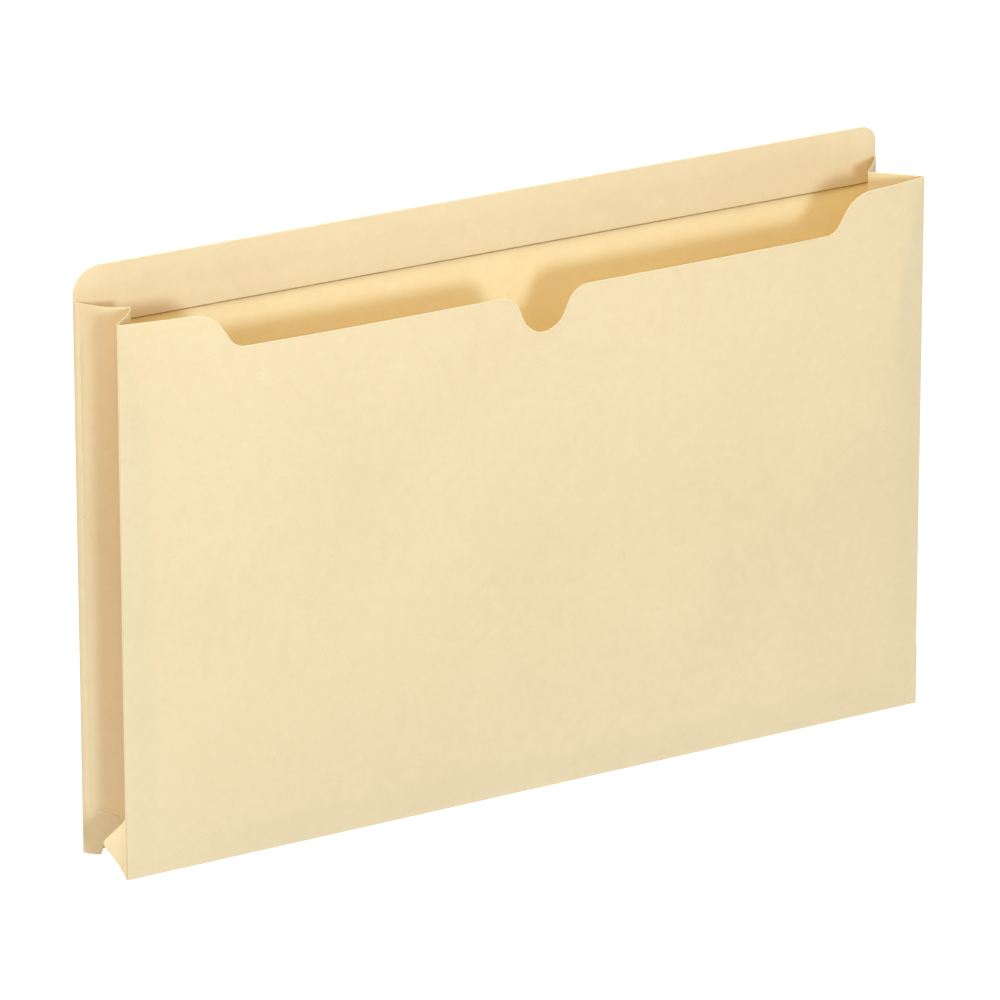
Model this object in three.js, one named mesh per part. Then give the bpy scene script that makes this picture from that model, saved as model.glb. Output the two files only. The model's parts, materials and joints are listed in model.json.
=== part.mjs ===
// A manila file jacket: two card panels joined by folded gussets at the left, the right and the bottom.
// Millimetres, +Z up, the front panel faces -Y, and the jacket stands on its bottom edges with z = 0 there.
// It is drawn part open: each gusset is a V of two strips, folded inwards, with a flap glued to each panel.
import * as THREE from 'three';

// Sizes of the card
const card = 0.3;                 // thickness of the card
const glueLine = 0.3;             // space left between a glued flap and its panel
const foldGap = 0.3;              // space left where two folded strips meet at a crease

// Sizes of the back panel and its tab
const jacketWidth = 374.65;
const backHeight = 241.3;
const tabCornerRadius = 11.5;
const tabPlyDepth = 24.4;         // how far the top of the back panel is folded over on its inner face

// Sizes of the front panel
const tabRise = 13.3;             // how far the back panel's tab stands above the front panel
const recessDepth = 15.2;         // how far the top edge is cut down between its shoulders
const rampFoot = 51.8;            // from the side edge to the foot of the shoulder's ramp
const rampAngle = 57;             // degrees from the level
const rampLowRadius = 7;
const rampHighRadius = 14;
const notchDepth = 17;            // thumb notch, below the recess
const notchAngle = 65;
const notchLowRadius = 10;
const notchHighRadius = 9;
const frontBow = 9;               // how far the middle of the free top edge stands forward
const bowPower = 4.85;            // a higher power bends the panel nearer to its side edges
const columnPitch = 12;           // widest step along the bowed sheets
const bowRows = 4;                // steps up the bowed panel

// Sizes of the gussets
const gussetStrip = 23;           // each half of a gusset, from fold to fold
const openAngle = 47;             // degrees between a gusset's half and the panels, as drawn
const flapWidth = 12.7;
const flapSetIn = 26;             // a flap's ends stay clear of the gusset that crosses there
const mitreGap = 2.6;             // room between the bottom gusset's slanted ends and the side gussets
const endPlyHeight = 20;          // end tabs of the bottom gusset, glued outside the side gussets
const endPlyWidth = 15;
const endPlySetBack = 1;          // from the fold to the tab's edge

// Places worked out from the sizes
const angle = THREE.MathUtils.degToRad(openAngle);
const halfWidth = jacketWidth / 2;
const flapOffset = glueLine + card;
const foldToFold = 2 * gussetStrip * Math.sin(angle) + 2 * card * Math.cos(angle);
const frontHeight = backHeight - tabRise;
const gussetHeight = frontHeight;
const recessLevel = frontHeight - recessDepth;
const depth = 2 * (card + flapOffset) + foldToFold + frontBow * recessLevel / frontHeight;
const backInnerY = depth / 2 - card;
const backFoldY = backInnerY - flapOffset;
const frontFoldY = backFoldY - foldToFold;
const frontInnerY = frontFoldY - flapOffset;
const bottomFoldZ = card;

const manila = { color: 0xf3dfae, roughness: 0.85, metalness: 0 };
const manilaInside = { color: 0xeed79f, roughness: 0.88, metalness: 0 };

const jacket = new THREE.Group();

function addPiece(group, name, geometry, finish) {
  const piece = new THREE.Mesh(geometry, new THREE.MeshStandardMaterial(finish));
  piece.name = name;
  group.add(piece);
  return piece;
}

// How far the front panel stands forward of the line between its side edges
function bowAt(x, z) {
  const share = Math.abs(x) / halfWidth;
  return frontBow * (1 - share ** bowPower) * z / frontHeight;
}

// A closed sheet of even thickness between two heights, bent as faceY says.
// faceY gives the inner face, and the outer face lies one card's thickness in front of it.
function bentSheet(columns, lowZ, highZ, faceY, rows) {
  const points = [];
  const triangles = [];
  const perColumn = rows + 1;
  const sheetSize = columns.length * perColumn;
  for (const outer of [true, false]) {
    for (const x of columns) {
      for (let row = 0; row <= rows; row += 1) {
        const z = lowZ(x) + (highZ(x) - lowZ(x)) * row / rows;
        points.push(x, faceY(x, z) - (outer ? card : 0), z);
      }
    }
  }
  const quad = (a, b, c, d) => triangles.push(a, b, c, a, c, d);
  const last = columns.length - 1;
  for (let column = 0; column < last; column += 1) {
    for (let row = 0; row < rows; row += 1) {
      const a = column * perColumn + row;
      const b = a + perColumn;
      quad(a, b, b + 1, a + 1);
      quad(a + sheetSize, a + 1 + sheetSize, b + 1 + sheetSize, b + sheetSize);
    }
    const foot = column * perColumn;
    const top = foot + rows;
    quad(foot, foot + sheetSize, foot + perColumn + sheetSize, foot + perColumn);
    quad(top, top + perColumn, top + perColumn + sheetSize, top + sheetSize);
  }
  for (let row = 0; row < rows; row += 1) {
    const right = last * perColumn + row;
    quad(row, row + 1, row + 1 + sheetSize, row + sheetSize);
    quad(right, right + sheetSize, right + 1 + sheetSize, right + 1);
  }
  const geometry = new THREE.BufferGeometry();
  geometry.setAttribute('position', new THREE.Float32BufferAttribute(points, 3));
  geometry.setIndex(triangles);
  geometry.computeVertexNormals();
  return geometry;
}

// Steps from one value to another, none longer than the column pitch
function evenSteps(from, to) {
  const count = Math.max(1, Math.ceil((to - from) / columnPitch));
  return Array.from({ length: count + 1 }, (_, step) => from + (to - from) * step / count);
}

// A slope that rises with a hollow round at its foot and a full round at its head
function climb(path, startX, startZ, rise, lowRadius, highRadius, degrees) {
  const slope = THREE.MathUtils.degToRad(degrees);
  const straight = rise - (lowRadius + highRadius) * (1 - Math.cos(slope));
  const run = (lowRadius + highRadius) * Math.sin(slope) + straight / Math.tan(slope);
  const quarter = Math.PI / 2;
  path.absarc(startX, startZ + lowRadius, lowRadius, -quarter, slope - quarter, false);
  path.absarc(startX + run, startZ + rise - highRadius, highRadius, quarter + slope, quarter, true);
}

// The right half of the front panel's top edge, from the bottom of the notch to the side edge
function topEdge() {
  const path = new THREE.Path();
  climb(path, 0, recessLevel - notchDepth, notchDepth, notchLowRadius, notchHighRadius, notchAngle);
  climb(path, halfWidth - rampFoot, recessLevel, recessDepth, rampLowRadius, rampHighRadius, rampAngle);
  path.lineTo(halfWidth, frontHeight);
  const corners = path.getPoints(5).map((point) => [point.x, point.y]);
  const edge = [corners[0]];
  for (const corner of corners.slice(1)) {
    const [lastX, lastZ] = edge[edge.length - 1];
    for (const x of evenSteps(lastX, corner[0]).slice(1)) {
      const share = (x - lastX) / (corner[0] - lastX);
      edge.push([x, lastZ + (corner[1] - lastZ) * share]);
    }
  }
  return edge;
}

// The back panel with its full-width tab, and the tab's folded-over ply
function cardWithTab(lowZ) {
  const outline = new THREE.Shape();
  outline.moveTo(-halfWidth, lowZ);
  outline.lineTo(halfWidth, lowZ);
  outline.absarc(halfWidth - tabCornerRadius, backHeight - tabCornerRadius, tabCornerRadius, 0, Math.PI / 2);
  outline.absarc(tabCornerRadius - halfWidth, backHeight - tabCornerRadius, tabCornerRadius, Math.PI / 2, Math.PI);
  const geometry = new THREE.ExtrudeGeometry(outline, { depth: card, bevelEnabled: false, curveSegments: 8 });
  geometry.rotateX(Math.PI / 2);
  return geometry;
}

function addBackPanel() {
  addPiece(jacket, 'back_panel', cardWithTab(0), manila).position.y = backInnerY + card;
  addPiece(jacket, 'tab_folded_ply', cardWithTab(backHeight - tabPlyDepth), manila).position.y = backInnerY;
}

function addFrontPanel() {
  const edge = topEdge();
  const mirrored = edge.slice(1).reverse().map(([x, z]) => [-x, z]);
  const wholeEdge = [...mirrored, ...edge];
  const topAt = new Map(wholeEdge);
  const faceY = (x, z) => frontInnerY - bowAt(x, z);
  const sheet = bentSheet(wholeEdge.map(([x]) => x), () => 0, (x) => topAt.get(x), faceY, bowRows);
  addPiece(jacket, 'front_panel', sheet, manila);
}

// Flaps of a side gusset: the back one is flat, and the front one follows the bowed panel
function addSideFlaps(name, side) {
  const inner = halfWidth - flapWidth;
  const span = side < 0 ? [-halfWidth, -inner] : [inner, halfWidth];
  const low = flapSetIn;
  const high = gussetHeight - flapSetIn;
  const back = new THREE.BoxGeometry(flapWidth, card, high - low);
  const backFlap = addPiece(jacket, `${name}_gusset_back_flap`, back, manilaInside);
  backFlap.position.set(side * (halfWidth - flapWidth / 2), backFoldY + card / 2, (low + high) / 2);
  const faceY = (x, z) => frontFoldY - bowAt(x, z);
  const front = bentSheet(evenSteps(...span), () => low, () => high, faceY, bowRows);
  addPiece(jacket, `${name}_gusset_front_flap`, front, manilaInside);
}

// One upright strip of a side gusset, in the frame of the fold that it turns on
function uprightStrip(group, name, fromX, toX, fromY, height, finish) {
  const strip = new THREE.BoxGeometry(Math.abs(toX - fromX), card, height);
  const piece = addPiece(group, name, strip, finish);
  piece.position.set((fromX + toX) / 2, fromY + card / 2, height / 2);
}

function addSideGusset(name, side) {
  const inwards = -side;
  const backFold = new THREE.Group();
  backFold.position.set(side * halfWidth, backFoldY, 0);
  backFold.rotation.z = -inwards * angle;
  jacket.add(backFold);
  const strip = [inwards * foldGap, inwards * (gussetStrip - foldGap)];
  uprightStrip(backFold, `${name}_gusset_back_half`, ...strip, -card, gussetHeight, manila);
  const ply = [inwards * endPlySetBack, inwards * (endPlySetBack + endPlyWidth)];
  uprightStrip(backFold, `${name}_gusset_back_end_ply`, ...ply, -card - flapOffset, endPlyHeight, manila);

  const creaseFold = new THREE.Group();
  creaseFold.position.set(inwards * gussetStrip, -card, 0);
  creaseFold.rotation.z = inwards * 2 * angle;
  backFold.add(creaseFold);
  const frontStrip = [-inwards * (gussetStrip - foldGap), -inwards * foldGap];
  uprightStrip(creaseFold, `${name}_gusset_front_half`, ...frontStrip, -card, gussetHeight, manila);
  const frontPly = [
    -inwards * (gussetStrip - endPlySetBack),
    -inwards * (gussetStrip - endPlySetBack - endPlyWidth),
  ];
  uprightStrip(creaseFold, `${name}_gusset_front_end_ply`, ...frontPly, glueLine, endPlyHeight, manila);
  addSideFlaps(name, side);
}

// One strip of the bottom gusset, with slanted ends that clear the side gussets as they fold.
// Its long edge lies at the panel, and rise says which way the strip goes from there.
function slantedStrip(group, name, longEdgeZ, rise) {
  const longHalf = halfWidth - mitreGap - foldGap;
  const shortHalf = halfWidth - mitreGap - (gussetStrip - foldGap);
  const shortEdgeZ = longEdgeZ + rise * (gussetStrip - 2 * foldGap);
  const outline = new THREE.Shape();
  outline.moveTo(-longHalf, longEdgeZ);
  outline.lineTo(longHalf, longEdgeZ);
  outline.lineTo(shortHalf, shortEdgeZ);
  outline.lineTo(-shortHalf, shortEdgeZ);
  const geometry = new THREE.ExtrudeGeometry(outline, { depth: card, bevelEnabled: false });
  geometry.rotateX(Math.PI / 2);
  addPiece(group, name, geometry, manila);
}

function addBottomGusset() {
  const backFold = new THREE.Group();
  backFold.position.set(0, backFoldY, bottomFoldZ);
  backFold.rotation.x = angle;
  jacket.add(backFold);
  slantedStrip(backFold, 'bottom_gusset_back_half', foldGap, 1);

  const creaseFold = new THREE.Group();
  creaseFold.position.set(0, -card, gussetStrip);
  creaseFold.rotation.x = -2 * angle;
  backFold.add(creaseFold);
  slantedStrip(creaseFold, 'bottom_gusset_front_half', foldGap - gussetStrip, 1);

  const flapHalf = halfWidth - flapSetIn;
  const back = new THREE.BoxGeometry(2 * flapHalf, card, flapWidth);
  const backFlap = addPiece(jacket, 'bottom_gusset_back_flap', back, manilaInside);
  backFlap.position.set(0, backFoldY + card / 2, bottomFoldZ + flapWidth / 2);
  const columns = evenSteps(-flapHalf, flapHalf);
  const faceY = (x, z) => frontFoldY - bowAt(x, z);
  const front = bentSheet(columns, () => bottomFoldZ, () => bottomFoldZ + flapWidth, faceY, 1);
  addPiece(jacket, 'bottom_gusset_front_flap', front, manilaInside);
}

addBackPanel();
addFrontPanel();
addSideGusset('left', -1);
addSideGusset('right', 1);
addBottomGusset();

export default jacket;
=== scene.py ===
import json
import math

import bmesh
import bpy
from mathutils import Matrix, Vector


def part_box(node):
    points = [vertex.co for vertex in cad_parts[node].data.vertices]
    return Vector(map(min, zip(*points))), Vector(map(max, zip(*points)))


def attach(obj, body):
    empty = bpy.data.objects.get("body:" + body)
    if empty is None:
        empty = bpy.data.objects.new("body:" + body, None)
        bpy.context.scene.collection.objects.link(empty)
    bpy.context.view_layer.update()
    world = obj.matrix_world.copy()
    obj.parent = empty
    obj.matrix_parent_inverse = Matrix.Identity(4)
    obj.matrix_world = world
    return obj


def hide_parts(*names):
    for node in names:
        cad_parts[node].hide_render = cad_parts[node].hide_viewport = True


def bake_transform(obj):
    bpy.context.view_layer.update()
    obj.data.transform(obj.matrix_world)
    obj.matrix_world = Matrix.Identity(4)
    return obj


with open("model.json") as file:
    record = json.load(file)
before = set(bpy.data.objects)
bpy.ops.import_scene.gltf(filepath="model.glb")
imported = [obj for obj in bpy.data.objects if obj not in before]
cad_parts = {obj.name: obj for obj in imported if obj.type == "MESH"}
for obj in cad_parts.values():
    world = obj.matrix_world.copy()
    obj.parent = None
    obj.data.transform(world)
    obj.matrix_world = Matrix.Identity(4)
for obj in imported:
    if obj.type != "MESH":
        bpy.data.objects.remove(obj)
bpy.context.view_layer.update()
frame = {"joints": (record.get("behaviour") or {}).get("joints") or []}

MM = 0.001

# Places that come from the frame
joints = {joint["name"]: joint for joint in frame["joints"]}
back_low, back_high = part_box("back_panel")
ply_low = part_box("tab_folded_ply")[0]
front_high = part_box("front_panel")[1]
flap_low, flap_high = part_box("left_gusset_back_flap")
left_strip_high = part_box("left_gusset_back_half")[1]
end_ply_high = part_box("left_gusset_back_end_ply")[1]
bottom_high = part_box("bottom_gusset_back_half")[1]
back_fold = Vector(joints["left_back_fold"]["pos_m"])
crease_fold = Vector(joints["left_crease_fold"]["pos_m"])
front_fold = Vector(joints["left_front_fold"]["pos_m"])
bottom_fold = Vector(joints["bottom_back_fold"]["pos_m"])
bottom_crease = Vector(joints["bottom_crease_fold"]["pos_m"])

# Sizes of the card sheets
card = back_high.y - back_low.y
half_width = back_high.x
back_height = back_high.z
front_height = front_high.z
front_inner_y = front_high.y
middle_y = crease_fold.y
contact = 0.02 * MM               # hairline that is left between two glued sheets
edge_round = 0.09 * MM            # rounding of a cut edge
cut_band = 0.35 * MM              # paler band that the cutting die leaves along an edge
raw_edge_shadow_band = 0.55 * MM              # darker band along the ply's raw, glued edge: glue plus a painted shadow of the gap under the edge
same_place = 0.01 * MM            # two places closer than this count as one
same_point = 0.004 * MM           # and two points closer than this are merged
rim_angle = math.radians(50)      # an edge sharper than this gets the rounding
smooth_angle = math.radians(35)   # a bend flatter than this is shaded as one surface

# Material slots of a piece
face_slot = 0
edge_slot = 1
raw_edge_shadow_slot = 3

# Turn that stands a flat sheet upright, facing forwards
facing_front = (math.pi / 2, 0, 0)

# How far apart each sheet is cut, so that it can bend
back_pitch_x = 12 * MM
back_pitch_z = 20 * MM
ply_pitch_z = 2.5 * MM
ply_cuts_end = 9 * MM             # the ply's fine cuts end this far below its fold
ply_side_cuts = (3 * MM, 6 * MM, 9 * MM)
front_pitch_x = 5 * MM
front_pitch_z = 16 * MM
front_side_cuts = (1.2 * MM, 2.5 * MM, 7.5 * MM)
bulge_pitch = 1.6 * MM
strip_pitch = 3 * MM
gusset_pitch_z = 12 * MM
tongue_pitch = 0.9 * MM
side_flap_pitch_x = 2.5 * MM
side_flap_pitch_z = 16 * MM
bottom_pitch_x = 20 * MM
bottom_flap_pitch_x = 12 * MM

# Outline of the back panel's tab
tab_left_radius = 11.5 * MM
tab_right_radius = 7 * MM
ply_flare = 0.5 * MM              # how far the ply's raw edge springs off the back panel
ply_flare_height = 14 * MM
ply_flare_end = 16 * MM

# Outline of the front panel's top edge
recess_depth = 15.2 * MM
ramp_foot = 51.8 * MM
ramp_angle = math.radians(57)
ramp_low_radius = 7 * MM
ramp_high_radius = 14 * MM
notch_depth = 17 * MM
notch_angle = math.radians(65)
notch_low_radius = 10 * MM
notch_high_radius = 9 * MM
front_bow = 9 * MM
bow_power = 4.85

# Shape of the gussets
gusset_strip = (crease_fold - back_fold).to_2d().length
crease_round = 0.35 * MM
score_from_fold = 2.4 * MM        # a second score, beside the fold at the back panel
score_width = 0.5 * MM
score_depth = 0.12 * MM
left_bulge = 2.6 * MM             # the left gusset's back half bulges outwards near the mouth
left_nest = 0.9 * MM              # and its front half inwards, so that the two still fold flat
right_bulge = 0.4 * MM
right_nest = 0.1 * MM
bulge_skew = 1.3                  # above 1, a bulge lies nearer the crease than the panel's fold
nest_skew = 1.6
bulge_rise = 3                    # above 1, a bulge keeps near the mouth
flap_width = flap_high.x - flap_low.x
flap_mitre = 45 * MM              # a flap's upper end slants down towards its free edge
relief_from_fold = 7.4 * MM       # beyond it, the gusset's lower end is cut away
relief_height = 4 * MM
relief_corner = 2.4 * MM
end_ply_from_fold = 1 * MM
end_ply_width = 15 * MM
end_ply_slope = 3.2 * MM          # the end ply's upper edge drops towards the crease
end_ply_corner = 2.5 * MM
tongue_low = 0.4 * MM
tongue_height = 26 * MM           # the front end tab is a triangle: its height along the front fold
tongue_reach = 6 * MM             # from the front panel back to its tip
tongue_tip_height = 15.5 * MM
left_tip_out = 7.6 * MM           # the tips stand this far outside the folds
right_tip_out = 1.5 * MM
tongue_curl = 1.3                 # above 1, a tongue leaves its fold straight and then turns outwards
tongue_tip_corner = 1.4 * MM
bottom_end_gap = 0.6 * MM         # between the bottom gusset's slanted ends and the side gussets
bottom_flap_gap = 1 * MM          # between a bottom flap and the side flaps at its ends

# Light in the card and in the room, with sizes in metres
through_card = 0.38               # share of the light that the card lets through
through_glued_card = 0.16         # and that it lets through where it is glued on another sheet
table_glow = 0.93                 # with the light that falls on the table, it looks just white
room_light = 0.63
soft_box_distance = 2.6
table_width = 30

# Camera, in millimetres and degrees, as fitted to the photograph
camera_yaw = 32
camera_pitch = 19
camera_distance = 3114
focal_pixels = 7789
centre_pixel = (515.2, 496.8)
image_pixels = 1000
sensor_width = 36
sight = 100 / MM                  # how far the camera sees


def only(piece):
    """Makes the piece the only selected object."""
    bpy.ops.object.select_all(action="DESELECT")
    piece.select_set(True)
    bpy.context.view_layer.objects.active = piece


def new_plane(name, centre, width, height, turn):
    """A plane of that size at its place, turned by the angles about X, Y and Z."""
    bpy.ops.object.select_all(action="DESELECT")
    bpy.ops.mesh.primitive_plane_add(size=1, location=centre, rotation=turn)
    piece = bpy.context.object
    piece.name = name
    piece.data.name = name
    piece.scale = (width, height, 1)
    bpy.ops.object.transform_apply(location=True, rotation=True, scale=True)
    piece.data.materials.append(card_face)
    piece.data.materials.append(card_edge)
    return piece


def glue_down(piece):
    """Gives a piece that is glued flat on another one the card that lets less light through."""
    piece.data.materials[face_slot] = card_glued


def edit(piece):
    """Opens the piece in edit mode."""
    only(piece)
    bpy.ops.object.mode_set(mode="EDIT")


def leave():
    """Goes back to object mode."""
    bpy.ops.object.mode_set(mode="OBJECT")


def pick(piece, kind, where):
    """Selects the vertices, edges or faces whose middle lies where the test says."""
    bpy.ops.mesh.select_mode(type=kind)
    bpy.ops.mesh.select_all(action="DESELECT")
    mesh = bmesh.from_edit_mesh(piece.data)
    parts = {"VERT": mesh.verts, "EDGE": mesh.edges, "FACE": mesh.faces}[kind]
    for part in parts:
        corners = [part] if kind == "VERT" else part.verts
        middle = sum((corner.co for corner in corners), Vector()) / len(corners)
        part.select_set(where(middle))
    mesh.select_flush_mode()
    bmesh.update_edit_mesh(piece.data)


def near(value, target):
    """Whether a value is the target, but for rounding."""
    return abs(value - target) < same_place


def paint(piece, slot):
    """Gives the selected faces, in edit mode, the material in that slot."""
    piece.active_material_index = slot
    bpy.ops.object.material_slot_assign()


def cut_across(axis, places):
    """Cuts the whole mesh in edit mode by planes across an axis."""
    normal = [0, 0, 0]
    normal["XYZ".index(axis)] = 1
    for place in places:
        point = [place * n for n in normal]
        bpy.ops.mesh.select_all(action="SELECT")
        bpy.ops.mesh.bisect(plane_co=point, plane_no=normal)


def steps(start, end, pitch):
    """Places between start and end, both left out, no further apart than the pitch."""
    count = max(1, math.ceil(abs(end - start) / pitch))
    return [start + (end - start) * step / count for step in range(1, count)]


def tidy_sheet():
    """Merges doubled points, in edit mode, and makes all faces of a curled sheet look the same way."""
    bpy.ops.mesh.select_all(action="SELECT")
    bpy.ops.mesh.remove_doubles(threshold=same_point)
    bpy.ops.mesh.normals_make_consistent(inside=False)


def finish_with(piece, kind, **settings):
    """Adds a modifier with its settings and applies it."""
    only(piece)
    modifier = piece.modifiers.new(kind.lower(), kind)
    for setting, value in settings.items():
        setattr(modifier, setting, value)
    bpy.ops.object.modifier_apply(modifier=modifier.name)


def shift_by(piece, direction, amount, share):
    """Moves each point along a direction by the amount times its share, from 0 to 1."""
    group = piece.vertex_groups.new(name="share")
    for vertex in piece.data.vertices:
        group.add([vertex.index], min(1, max(0, share(vertex.co))), "REPLACE")
    finish_with(
        piece, "DISPLACE",
        direction=direction, strength=amount, mid_level=0, vertex_group=group.name,
    )
    piece.vertex_groups.clear()


def face_outwards(piece):
    """Turns all faces of the piece to its outside."""
    edit(piece)
    bpy.ops.mesh.select_all(action="SELECT")
    bpy.ops.mesh.normals_make_consistent(inside=False)
    leave()


def make_card(piece, offset=0):
    """Gives the flat shape the card's thickness, a rim of cut edge and softly rounded edges.

    The shape lies in the middle of the card, or at its back if the offset is 1.
    """
    finish_with(
        piece, "SOLIDIFY",
        thickness=card, offset=offset, use_even_offset=True, material_offset_rim=1,
    )
    finish_with(
        piece, "BEVEL",
        width=edge_round, segments=2, limit_method="ANGLE", angle_limit=rim_angle,
    )
    face_outwards(piece)
    bpy.ops.object.shade_smooth_by_angle(angle=smooth_angle)


def fold_rim(piece, where):
    """Gives the rim along a fold, where the card goes on and isn't cut, the colour of the face."""
    edit(piece)
    pick(piece, "FACE", where)
    paint(piece, face_slot)
    leave()


def mirrored(piece, name, axis, across=0):
    """A copy with its own mesh, mirrored across the plane at that place on the axis."""
    only(piece)
    bpy.ops.object.duplicate()
    copy = bpy.context.object
    copy.name = name
    copy.data.name = name
    index = "XYZ".index(axis)
    copy.scale[index] = -1
    copy.location[index] = 2 * across
    bpy.ops.object.transform_apply(location=True, rotation=True, scale=True)
    face_outwards(copy)
    return copy


def smooth(share):
    """Eases a share from 0 to 1 at both its ends."""
    share = min(1, max(0, share))
    return share * share * (3 - 2 * share)


def bow_share(place):
    """How far the bowed front has moved at a place, as a share of the bow at the mouth."""
    across = min(1, abs(place.x) / half_width)
    return (1 - across ** bow_power) * place.z / front_height


def piece_side(name):
    """The sign of X at the jacket's left or right side."""
    return -1 if name == "left" else 1


def outward(piece, side=-1):
    """1 if the sheet's faces look out of that side of the jacket, or else -1."""
    facing = sum(face.normal.x * face.area for face in piece.data.polygons)
    return 1 if facing * side > 0 else -1


# Pieces

def make_back_panel():
    """The back and its tab are one sheet: the top is folded over and lies on the inner face."""
    fold_radius = (card + contact) / 2
    fold_height = back_height - fold_radius - card / 2
    sheet_y = back_high.y - card / 2
    centre = (0, sheet_y, fold_height / 2)
    panel = new_plane("back_panel_two_ply_tab", centre, 2 * half_width, fold_height, facing_front)
    edit(panel)
    for side, radius in ((-1, tab_left_radius), (1, tab_right_radius)):
        corner_x = side * half_width
        pick(panel, "VERT", lambda place: near(place.z, fold_height) and near(place.x, corner_x))
        bpy.ops.mesh.bevel(affect="VERTICES", offset=radius - fold_radius - card / 2, segments=14)
    cut_across("Z", [ply_low.z])
    pick(panel, "FACE", lambda place: place.z > ply_low.z)
    bpy.ops.mesh.duplicate()
    bpy.ops.transform.translate(value=(0, -2 * fold_radius, 0))
    bpy.ops.mesh.flip_normals()
    straight = half_width - tab_left_radius
    pick(
        panel, "EDGE",
        lambda place: near(place.z, fold_height) and near(place.y, sheet_y) and abs(place.x) < straight,
    )
    bpy.ops.mesh.spin(
        steps=6, angle=-math.pi, center=(0, sheet_y - fold_radius, fold_height), axis=(1, 0, 0)
    )
    tidy_sheet()
    cut_across("X", steps(-half_width, half_width, back_pitch_x))
    cut_across("X", [side * (half_width - place) for side in (-1, 1) for place in ply_side_cuts])
    cut_across("Z", steps(0, ply_low.z, back_pitch_z))
    cut_across("Z", steps(ply_low.z, fold_height - ply_cuts_end, ply_pitch_z))
    # Cuts off the band along the ply's raw edge that gets the glue and painted shadow
    cut_across("Z", [ply_low.z + raw_edge_shadow_band])
    # A rim takes the slot after its face's own, so the cut edge stands twice and the raw edge's glue and
    # painted shadow come last
    for material in (card_edge, card_raw_edge_glue_and_shadow):
        panel.data.materials.append(material)
    pick(panel, "FACE", lambda place: place.z > fold_height)
    paint(panel, edge_slot)
    # The band along the ply's raw edge gets the brown of glue and painted shadow
    raw_shadow_z = ply_low.z + raw_edge_shadow_band / 2
    pick(panel, "FACE", lambda place: near(place.z, raw_shadow_z) and place.y < sheet_y - fold_radius)
    paint(panel, raw_edge_shadow_slot)
    leave()

    def flare(place):
        """Springs the ply off the panel, most at its raw edge and not at its sides."""
        if place.y > sheet_y - fold_radius:
            return 0
        over_edge = smooth((place.z - ply_low.z) / ply_flare_height)
        off_side = smooth((half_width - abs(place.x)) / ply_flare_end)
        return (1 - over_edge) * off_side

    shift_by(panel, "Y", -ply_flare, flare)
    make_card(panel)
    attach(panel, "back")
    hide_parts("back_panel", "tab_folded_ply")


def tangent(radius, turn):
    """How far from its corner a round of that radius starts, where the edge turns by that angle."""
    return radius * math.tan(turn / 2)


def make_front_panel():
    """The front is cut down between its shoulders, notched for the thumb, and bows forwards."""
    centre = (0, front_inner_y, front_height / 2)
    panel = new_plane("front_panel_card", centre, 2 * half_width, front_height, facing_front)
    ramp_low_x = half_width - ramp_foot + tangent(ramp_low_radius, ramp_angle)
    ramp_high_x = ramp_low_x + recess_depth / math.tan(ramp_angle)
    notch_low_x = tangent(notch_low_radius, notch_angle)
    notch_high_x = notch_low_x + notch_depth / math.tan(notch_angle)
    recess_z = front_height - recess_depth
    notch_z = recess_z - notch_depth

    edit(panel)
    corners = [notch_low_x, notch_high_x, ramp_low_x, ramp_high_x]
    cut_across("X", [-x for x in corners] + corners)
    pick(panel, "VERT", lambda place: near(place.z, front_height) and abs(place.x) < ramp_low_x + MM)
    bpy.ops.transform.translate(value=(0, 0, -recess_depth))
    pick(panel, "VERT", lambda place: near(place.z, recess_z) and abs(place.x) < notch_low_x + MM)
    bpy.ops.transform.translate(value=(0, 0, -notch_depth))
    # What is left of the cuts below the outline goes again
    low_z = 0.3 * front_height
    high_z = 0.6 * front_height
    pick(panel, "EDGE", lambda place: low_z < place.z < high_z and abs(place.x) < ramp_high_x + MM)
    bpy.ops.mesh.dissolve_edges(use_verts=False)
    pick(panel, "VERT", lambda place: near(place.z, 0) and abs(place.x) < ramp_high_x + MM)
    bpy.ops.mesh.dissolve_verts()

    # The notch's two lower rounds would meet in its middle, so each stops a hair short of it
    rounds = [
        (notch_low_x, notch_z, tangent(notch_low_radius, notch_angle) - same_place, 8),
        (notch_high_x, recess_z, tangent(notch_high_radius, notch_angle), 8),
        (ramp_low_x, recess_z, tangent(ramp_low_radius, ramp_angle), 7),
        (ramp_high_x, front_height, tangent(ramp_high_radius, ramp_angle), 10),
    ]
    for x, z, offset, segments in rounds:
        pick(panel, "VERT", lambda place: near(abs(place.x), x) and near(place.z, z))
        bpy.ops.mesh.bevel(affect="VERTICES", offset=offset, segments=segments)

    bpy.ops.mesh.select_mode(type="FACE")
    bpy.ops.mesh.select_all(action="SELECT")
    bpy.ops.mesh.inset(thickness=cut_band, use_boundary=True)
    bpy.ops.mesh.select_all(action="INVERT")
    paint(panel, edge_slot)

    cut_across("X", steps(-half_width, half_width, front_pitch_x))
    cut_across("X", [side * (half_width - place) for side in (-1, 1) for place in front_side_cuts])
    cut_across("Z", steps(0, front_height, front_pitch_z))
    leave()

    shift_by(panel, "Y", -front_bow, bow_share)
    make_card(panel, offset=1)
    fold_x = half_width - cut_band
    top_z = front_height - MM
    fold_rim(panel, lambda place: place.z < cut_band or abs(place.x) > fold_x and place.z < top_z)
    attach(panel, "front")
    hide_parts("front_panel")


def strip_share(place):
    """How far across a gusset a place lies: 0 at the back fold, 1 at the crease, 2 at the front fold."""
    return (back_fold.y - place.y) / (back_fold.y - crease_fold.y)


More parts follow.
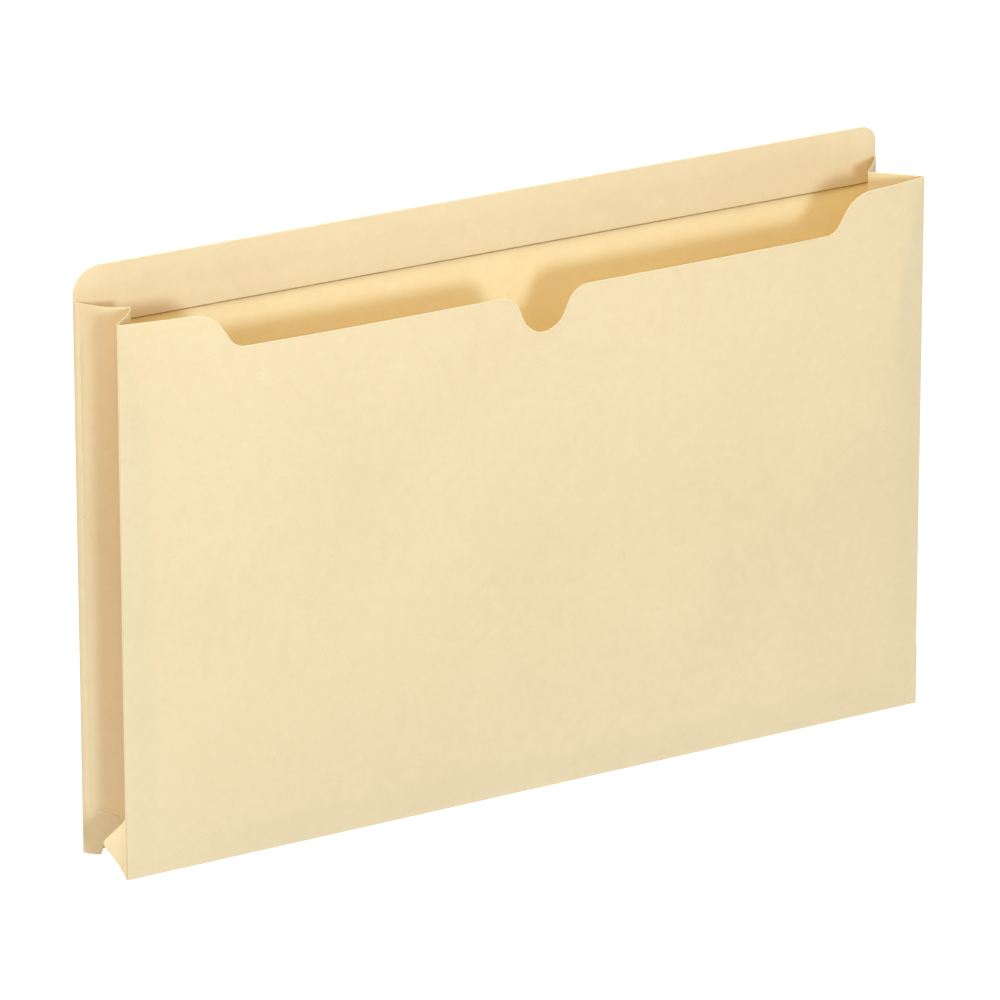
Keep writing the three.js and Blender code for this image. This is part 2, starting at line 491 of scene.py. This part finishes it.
def cut_relief(piece, fold_x, crease_x):
    """Cuts the lower end away, in edit mode, from a little way off the fold to the crease."""
    out_x = -half_width + relief_from_fold * (crease_x - fold_x) / gusset_strip
    cut_across("Z", [relief_height])
    cut_across("X", [out_x])
    pick(piece, "FACE", lambda place: place.z < relief_height and place.x > out_x)
    bpy.ops.mesh.delete(type="FACE")
    pick(piece, "VERT", lambda place: near(place.x, out_x) and near(place.z, 0))
    bpy.ops.mesh.bevel(affect="VERTICES", offset=relief_corner, segments=6)


def make_side_gussets():
    """Each side gusset is one sheet, scored and folded inwards along the crease."""
    height = left_strip_high.z
    along = (crease_fold - back_fold).to_2d().normalized().to_3d()
    start = back_fold - along * card / 2
    middle = (start + crease_fold) / 2
    middle.z = height / 2
    turn = math.atan2(along.y, along.x)
    width = (crease_fold - start).to_2d().length
    left = new_plane("left_gusset_card", middle, width, height, (math.pi / 2, 0, turn))
    edit(left)
    pick(left, "EDGE", lambda place: near(place.y, crease_fold.y))
    onwards = Vector((-along.x, along.y, 0)) * (gusset_strip + card / 2)
    bpy.ops.mesh.extrude_edges_move(TRANSFORM_OT_translate={"value": onwards})
    pick(left, "EDGE", lambda place: near(place.y, crease_fold.y) and near(place.z, height / 2))
    bpy.ops.mesh.bevel(affect="EDGES", offset=crease_round, segments=4)
    depth = back_fold.y - crease_fold.y
    score_y = back_fold.y - depth * score_from_fold / gusset_strip
    score_half_y = depth * score_width / gusset_strip / 2
    cut_across("Y", [score_y - score_half_y, score_y, score_y + score_half_y])
    cut_across("Y", steps(score_y - score_half_y, crease_fold.y + crease_round, bulge_pitch))
    cut_across("Y", steps(crease_fold.y - crease_round, front_fold.y, strip_pitch))
    cut_relief(left, start.x, crease_fold.x)
    cut_across("Z", steps(0, height, gusset_pitch_z) + [height - cut_band])
    pick(left, "FACE", lambda place: place.z > height - cut_band)
    paint(left, edge_slot)
    leave()

    def swell(share, skew, place):
        """A hump across one half of the gusset, which grows towards the mouth."""
        if not 0 < share < 1:
            return 0
        return math.sin(math.pi * share ** skew) * (place.z / height) ** bulge_rise

    def bulge(place):
        """The back half's hump."""
        return swell(strip_share(place), bulge_skew, place)

    def nest(place):
        """The front half's hump."""
        return swell(2 - strip_share(place), nest_skew, place)

    shift_by(left, "NORMAL", -outward(left) * score_depth, lambda place: near(place.y, score_y))
    right = mirrored(left, "right_gusset_card", "X")
    bulges = (("left", left, left_bulge, left_nest), ("right", right, right_bulge, right_nest))
    top_z = height - cut_band
    for name, piece, bulge_height, nest_height in bulges:
        facing = outward(piece, piece_side(name))
        shift_by(piece, "NORMAL", facing * bulge_height, bulge)
        shift_by(piece, "NORMAL", -facing * nest_height, nest)
        make_card(piece)
        fold_rim(piece, lambda place: place.z < top_z and not front_fold.y < place.y < back_fold.y)
        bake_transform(piece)
        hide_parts(f"{name}_gusset_back_half", f"{name}_gusset_front_half")


def make_end_plies():
    """The bottom gusset's back end tabs, glued on the lower ends of the side gussets."""
    along = (crease_fold - back_fold).to_2d().normalized().to_3d()
    outside = Vector((along.y, -along.x, 0))
    height = end_ply_high.z
    start = back_fold + along * end_ply_from_fold + outside * (card + contact)
    centre = start + along * end_ply_width / 2
    centre.z = height / 2
    turn = math.atan2(along.y, along.x)
    ply = new_plane("left_back_end_ply", centre, end_ply_width, height, (math.pi / 2, 0, turn))
    crease_side = (start + along * end_ply_width).y
    edit(ply)
    pick(ply, "VERT", lambda place: near(place.z, height) and near(place.y, crease_side))
    bpy.ops.transform.translate(value=(0, 0, -end_ply_slope))
    bpy.ops.mesh.bevel(affect="VERTICES", offset=end_ply_corner, segments=6)
    cut_relief(ply, back_fold.x, crease_fold.x)
    leave()
    make_card(ply)
    right = mirrored(ply, "right_back_end_ply", "X")
    for name, piece in (("left", ply), ("right", right)):
        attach(piece, f"{name}_back_half")
        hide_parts(f"{name}_gusset_back_end_ply")


def make_end_tongues():
    """The bottom gusset's front end tabs: triangles that spring off along the front panel's sides."""
    root = Vector((front_fold.x - card - contact, front_fold.y - 2 * card, tongue_low))
    height = tongue_height - root.z
    centre = root + Vector((0, tongue_reach / 2, height / 2))
    upright = (math.pi / 2, 0, math.pi / 2)
    left = new_plane("left_front_end_tongue", centre, tongue_reach, height, upright)
    edit(left)
    pick(left, "VERT", lambda place: place.y > centre.y)
    bpy.ops.mesh.merge(type="CENTER")
    bpy.ops.transform.translate(value=(0, 0, tongue_tip_height - centre.z))
    bpy.ops.mesh.bevel(affect="VERTICES", offset=tongue_tip_corner, segments=5)
    cut_across("Y", steps(root.y, root.y + tongue_reach, tongue_pitch))
    leave()

    def curl(place):
        """Turns a tongue outwards, more and more towards its tip."""
        return max(0, (place.y - root.y) / tongue_reach) ** tongue_curl

    right = mirrored(left, "right_front_end_tongue", "X")
    for name, piece, tip_out in (("left", left, left_tip_out), ("right", right, right_tip_out)):
        side = piece_side(name)
        shift_by(piece, "X", side * tip_out, curl)
        make_card(piece)
        fold_rim(piece, lambda place: place.y < root.y + edge_round)
        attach(piece, "front")
        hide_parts(f"{name}_gusset_front_end_ply")


def make_side_flaps():
    """The gussets' flaps, glued inside the panels, each curling round into its fold."""
    curl = back_low.y - contact - card / 2 - back_fold.y
    flap_y = back_fold.y + curl
    low = bottom_fold.z
    height = left_strip_high.z - low
    fold_x = back_fold.x
    width = flap_width - curl
    centre = (fold_x + curl + width / 2, flap_y, low + height / 2)
    flap = new_plane("left_back_flap", centre, width, height, facing_front)
    glue_down(flap)
    edit(flap)
    pick(flap, "VERT", lambda place: near(place.z, low + height) and near(place.x, fold_x + flap_width))
    bpy.ops.transform.translate(value=(0, 0, -flap_mitre))
    pick(flap, "EDGE", lambda place: near(place.x, fold_x + curl))
    turn_at = (fold_x + curl, back_fold.y, 0)
    bpy.ops.mesh.spin(steps=5, angle=-math.pi / 2, center=turn_at, axis=(0, 0, 1))
    tidy_sheet()
    cut_across("X", steps(fold_x + curl, fold_x + flap_width, side_flap_pitch_x))
    cut_across("Z", steps(low, low + height, side_flap_pitch_z))
    leave()
    flaps = {("left", "back"): flap}
    flaps["left", "front"] = mirrored(flap, "left_front_flap", "Y", middle_y)
    shift_by(flaps["left", "front"], "Y", -front_bow, bow_share)
    for end in ("back", "front"):
        make_card(flaps["left", end])
        flaps["right", end] = mirrored(flaps["left", end], f"right_{end}_flap", "X")
    for (name, end), piece in flaps.items():
        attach(piece, end)
        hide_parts(f"{name}_gusset_{end}_flap")


def make_bottom_gusset():
    """The bottom gusset is one sheet, folded upwards, with slanted ends clear of the side gussets."""
    fold_half = bottom_high.x
    crease_half = fold_half - (gusset_strip - bottom_end_gap)
    along = bottom_crease - bottom_fold
    along.x = 0
    along.normalize()
    start = bottom_fold - along * card / 2
    middle = (start + bottom_crease) / 2
    middle.x = 0
    tilt = math.atan2(along.z, along.y)
    depth = (bottom_crease - start).length
    gusset = new_plane("bottom_gusset_card", middle, 2 * fold_half, depth, (tilt, 0, 0))
    edit(gusset)
    pick(gusset, "VERT", lambda place: near(place.y, bottom_crease.y))
    bpy.ops.transform.resize(value=(crease_half / fold_half, 1, 1), center_override=(0, 0, 0))
    pick(gusset, "EDGE", lambda place: near(place.y, bottom_crease.y))
    onwards = Vector((0, along.y, -along.z)) * ((bottom_crease - bottom_fold).length + card / 2)
    bpy.ops.mesh.extrude_edges_move(TRANSFORM_OT_translate={"value": onwards})
    front_edge_y = bottom_crease.y + onwards.y
    pick(gusset, "VERT", lambda place: near(place.y, front_edge_y))
    bpy.ops.transform.resize(value=(fold_half / crease_half, 1, 1), center_override=(0, 0, 0))
    pick(gusset, "EDGE", lambda place: near(place.y, bottom_crease.y) and near(place.x, 0))
    bpy.ops.mesh.bevel(affect="EDGES", offset=crease_round, segments=4)
    cut_across("Y", steps(bottom_fold.y, bottom_crease.y + crease_round, strip_pitch))
    cut_across("Y", steps(bottom_crease.y - crease_round, front_fold.y, strip_pitch))
    cut_across("X", steps(-fold_half, fold_half, bottom_pitch_x))
    leave()
    make_card(gusset)
    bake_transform(gusset)
    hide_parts("bottom_gusset_back_half", "bottom_gusset_front_half")


def make_bottom_flaps():
    """The bottom gusset's flaps, glued inside the panels between the side flaps."""
    curl = back_low.y - contact - card / 2 - bottom_fold.y
    flap_y = bottom_fold.y + curl
    half_length = half_width - flap_width - bottom_flap_gap
    height = flap_width - curl
    centre = (0, flap_y, bottom_fold.z + curl + height / 2)
    flap = new_plane("bottom_back_flap", centre, 2 * half_length, height, facing_front)
    glue_down(flap)
    edit(flap)
    pick(flap, "EDGE", lambda place: near(place.z, bottom_fold.z + curl))
    turn_at = (0, bottom_fold.y, bottom_fold.z + curl)
    bpy.ops.mesh.spin(steps=5, angle=math.pi / 2, center=turn_at, axis=(1, 0, 0))
    tidy_sheet()
    cut_across("X", steps(-half_length, half_length, bottom_flap_pitch_x))
    cut_across("Z", [bottom_fold.z + flap_width / 2])
    leave()
    front = mirrored(flap, "bottom_front_flap", "Y", middle_y)
    shift_by(front, "Y", -front_bow, bow_share)
    for end, piece in (("back", flap), ("front", front)):
        make_card(piece)
        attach(piece, end)
        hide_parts(f"bottom_gusset_{end}_flap")


# Materials

def colour(code):
    """A colour from its sRGB hex code, as the linear values that a shader takes."""
    parts = [int(code[i:i + 2], 16) / 255 for i in (1, 3, 5)]
    return [v / 12.92 if v <= 0.04045 else ((v + 0.055) / 1.055) ** 2.4 for v in parts] + [1]


def add(material, kind, links=None, **settings):
    """Adds a node with its settings, and links other nodes' outputs to its inputs."""
    node = material.node_tree.nodes.new(kind)
    for name, value in settings.items():
        if name in node.inputs and not hasattr(node, name):
            node.inputs[name].default_value = value
        else:
            setattr(node, name, value)
    for socket, source in (links or {}).items():
        material.node_tree.links.new(source, node.inputs[socket])
    return node


def noise(material, place, size, detail, roughness=0.5):
    """Noise whose blobs are about that size."""
    node = add(
        material, "ShaderNodeTexNoise", {"Vector": place},
        Scale=1 / size, Detail=detail, Roughness=roughness,
    )
    return node.outputs["Fac"]


def toned(material, value, stops):
    """Turns a value into a colour by a ramp, whose stops are a place and a hex code each."""
    node = add(material, "ShaderNodeValToRGB", {"Fac": value})
    elements = node.color_ramp.elements
    while len(elements) < len(stops):
        elements.new(0.5)
    for element, (place, code) in zip(elements, stops):
        element.position = place
        element.color = colour(code)
    return node.outputs["Color"]


def multiplied(material, links, **settings):
    """Two colours, multiplied."""
    node = add(material, "ShaderNodeMixRGB", links, blend_type="MULTIPLY", Fac=1, **settings)
    return node.outputs["Color"]


def bare_material(name):
    """A material without nodes."""
    material = bpy.data.materials.new(name)
    material.use_nodes = True
    material.node_tree.nodes.clear()
    return material


def manila_card(name, light_let_through):
    """Manila card: buff, uncoated, thin enough to let some light through, which comes out orange.

    Faint cloudy fibre clumps, fine flecks and hardly any gloss. A line of glue keeps the light back.
    """
    material = bare_material(name)
    place = add(material, "ShaderNodeTexCoord").outputs["Object"]
    clump_size = 5 * MM
    drift_size = 70 * MM
    fleck_size = 0.9 * MM         # real flecks are near 0.3 mm, drawn coarser so that they show
    tooth_size = 0.5 * MM
    clumps = noise(material, place, clump_size, detail=4, roughness=0.6)
    drift = noise(material, place, drift_size, detail=2)
    flecks = noise(material, place, fleck_size, detail=2, roughness=0.7)
    tooth = noise(material, place, tooth_size, detail=3, roughness=0.6)

    card_tone = toned(material, clumps, [(0.3, "#F4E2BE"), (0.5, "#F5E4C1"), (0.7, "#F6E6C4")])
    drift_tone = toned(material, drift, [(0.35, "#FDFCFB"), (0.65, "#FFFFFF")])
    fleck_stops = [(0.25, "#F8F6F0"), (0.42, "#FFFFFF"), (0.66, "#FFFFFF"), (0.8, "#FCFAF6")]
    fleck_tone = toned(material, flecks, fleck_stops)
    drifted = multiplied(material, {"Color1": card_tone, "Color2": drift_tone})
    flecked = multiplied(material, {"Color1": drifted, "Color2": fleck_tone})
    gloss = add(
        material, "ShaderNodeMapRange", {"Value": clumps},
        **{"From Min": 0.3, "From Max": 0.7, "To Min": 0.72, "To Max": 0.86},
    )
    relief = add(
        material, "ShaderNodeBump", {"Height": tooth},
        Strength=0.35, Distance=0.03 * MM,
    )
    shader = add(
        material, "ShaderNodeBsdfPrincipled",
        {"Base Color": flecked, "Roughness": gloss.outputs["Result"], "Normal": relief.outputs["Normal"]},
        IOR=1.45,
    )
    warmed = multiplied(material, {"Color1": flecked}, Color2=colour("#FFFDD8"))
    light_through = add(material, "ShaderNodeBsdfTranslucent", {"Color": warmed})
    sheet = add(
        material, "ShaderNodeMixShader",
        {1: shader.outputs["BSDF"], 2: light_through.outputs["BSDF"]},
        Fac=light_let_through,
    )
    add(material, "ShaderNodeOutputMaterial", {"Surface": sheet.outputs["Shader"]})
    return material


def mottled(name, blob_size, detail, stops, **settings):
    """A matte material whose colour wanders between its stops, in blobs of about that size."""
    material = bare_material(name)
    place = add(material, "ShaderNodeTexCoord").outputs["Object"]
    tone = toned(material, noise(material, place, blob_size, detail), stops)
    shader = add(material, "ShaderNodeBsdfPrincipled", {"Base Color": tone}, **settings)
    add(material, "ShaderNodeOutputMaterial", {"Surface": shader.outputs["BSDF"]})
    return material


def glue_and_painted_shadow_edge():
    """Raw edge of the folded ply: dried glue plus a painted shadow of the gap under the edge make it a
    dark matte brown.
    """
    return mottled(
        "manila_raw_edge_glue_painted_shadow", blob_size=4 * MM, detail=3,
        stops=[(0.3, "#A0784A"), (0.7, "#AE8752")], Roughness=0.7, IOR=1.45,
    )


def cut_manila_edge():
    """Die cut edge of manila card: torn fibres scatter more light, so it is paler than the face."""
    return mottled(
        "manila_cut_edge", blob_size=0.6 * MM, detail=3,
        stops=[(0.3, "#DDCBA2"), (0.7, "#E5D4AF")], Roughness=0.9, IOR=1.45,
    )


def studio_floor():
    """Opal acrylic table, lit from below: its own light makes it white and drowns the shadow."""
    return mottled(
        "studio_table_opal_acrylic", blob_size=1 / 3, detail=2,
        stops=[(0, "#585858"), (1, "#5B5B5B")], Roughness=0.95,
        **{"Emission Color": colour("#FFFFFF"), "Emission Strength": table_glow},
    )


# Studio

def make_floor():
    """The table top, a hair under the jacket and wider than the camera sees."""
    floor = new_plane("studio_floor", (0, 0, -same_place), table_width, table_width, (0, 0, 0))
    floor.data.materials.clear()
    floor.data.materials.append(studio_floor())
    # The table neither throws light up at the jacket nor keeps the room's light off it
    floor.visible_diffuse = False
    floor.visible_transmission = False
    floor.visible_shadow = False


def add_soft_box(name, azimuth, elevation, size, energy, tint):
    """A round soft box that looks at the jacket. Azimuth 0 is straight in front, 90 is at its right."""
    azimuth = math.radians(azimuth)
    elevation = math.radians(elevation)
    towards = Vector((
        math.sin(azimuth) * math.cos(elevation),
        -math.cos(azimuth) * math.cos(elevation),
        math.sin(elevation),
    ))
    target = Vector((0, 0, back_height / 2))
    bpy.ops.object.light_add(type="AREA", location=target + towards * soft_box_distance)
    box = bpy.context.object
    box.name = name
    box.data.shape = "DISK"
    box.data.size = size
    box.data.energy = energy
    box.data.color = colour(tint)[:3]
    box.rotation_mode = "QUATERNION"
    box.rotation_quaternion = towards.to_track_quat("Z", "Y")


def make_light():
    """Soft boxes: a cool one in front, warmer ones at the left and above, and a white one behind."""
    add_soft_box("key_soft_box", azimuth=-12, elevation=10, size=0.42, energy=39.8, tint="#CBEBFF")
    add_soft_box("left_soft_box", azimuth=-62, elevation=25, size=1.6, energy=23, tint="#FFF1D7")
    add_soft_box("top_soft_box", azimuth=0, elevation=72, size=1.2, energy=31, tint="#FFF6DF")
    add_soft_box("back_soft_box", azimuth=180, elevation=12, size=1.6, energy=42, tint="#FFFFFF")


def make_room():
    """A room that lights the jacket faintly all round, while the camera sees plain white walls."""
    room = bpy.data.worlds.new("white_room")
    room.use_nodes = True
    room.node_tree.nodes.clear()
    light = add(room, "ShaderNodeBackground", Color=colour("#FFFDF9"), Strength=room_light)
    wall = add(room, "ShaderNodeBackground", Color=colour("#FFFFFF"))
    ray = add(room, "ShaderNodeLightPath")
    seen = add(
        room, "ShaderNodeMixShader",
        {0: ray.outputs["Is Camera Ray"], 1: light.outputs["Background"], 2: wall.outputs["Background"]},
    )
    add(room, "ShaderNodeOutputWorld", {"Surface": seen.outputs["Shader"]})
    bpy.context.scene.world = room


def make_camera():
    """A long lens, aimed at the jacket's middle and shifted so that the picture's centre fits."""
    yaw = math.radians(camera_yaw)
    pitch = math.radians(camera_pitch)
    forwards = Vector((
        math.sin(yaw) * math.cos(pitch),
        math.cos(yaw) * math.cos(pitch),
        -math.sin(pitch),
    ))
    aim = Vector((0, 0, back_height / 2))
    bpy.ops.object.camera_add(location=aim - forwards * camera_distance * MM)
    camera = bpy.context.object
    camera.name = "photo_camera"
    camera.rotation_mode = "QUATERNION"
    camera.rotation_quaternion = forwards.to_track_quat("-Z", "Y")
    camera.data.sensor_width = sensor_width
    camera.data.lens = focal_pixels * sensor_width / image_pixels
    camera.data.shift_x = (image_pixels / 2 - centre_pixel[0]) / image_pixels
    camera.data.shift_y = (centre_pixel[1] - image_pixels / 2) / image_pixels
    camera.data.clip_end = sight * MM
    bpy.context.scene.camera = camera


card_face = manila_card("manila_card_uncoated", through_card)
card_glued = manila_card("manila_card_glued", through_glued_card)
card_edge = cut_manila_edge()
# Brown of glue and painted shadow for the ply's raw edge
card_raw_edge_glue_and_shadow = glue_and_painted_shadow_edge()

make_back_panel()
make_front_panel()
make_side_gussets()
make_end_plies()
make_end_tongues()
make_side_flaps()
make_bottom_gusset()
make_bottom_flaps()

make_floor()
make_light()
make_room()
make_camera()
bpy.context.scene.view_settings.view_transform = "Standard"
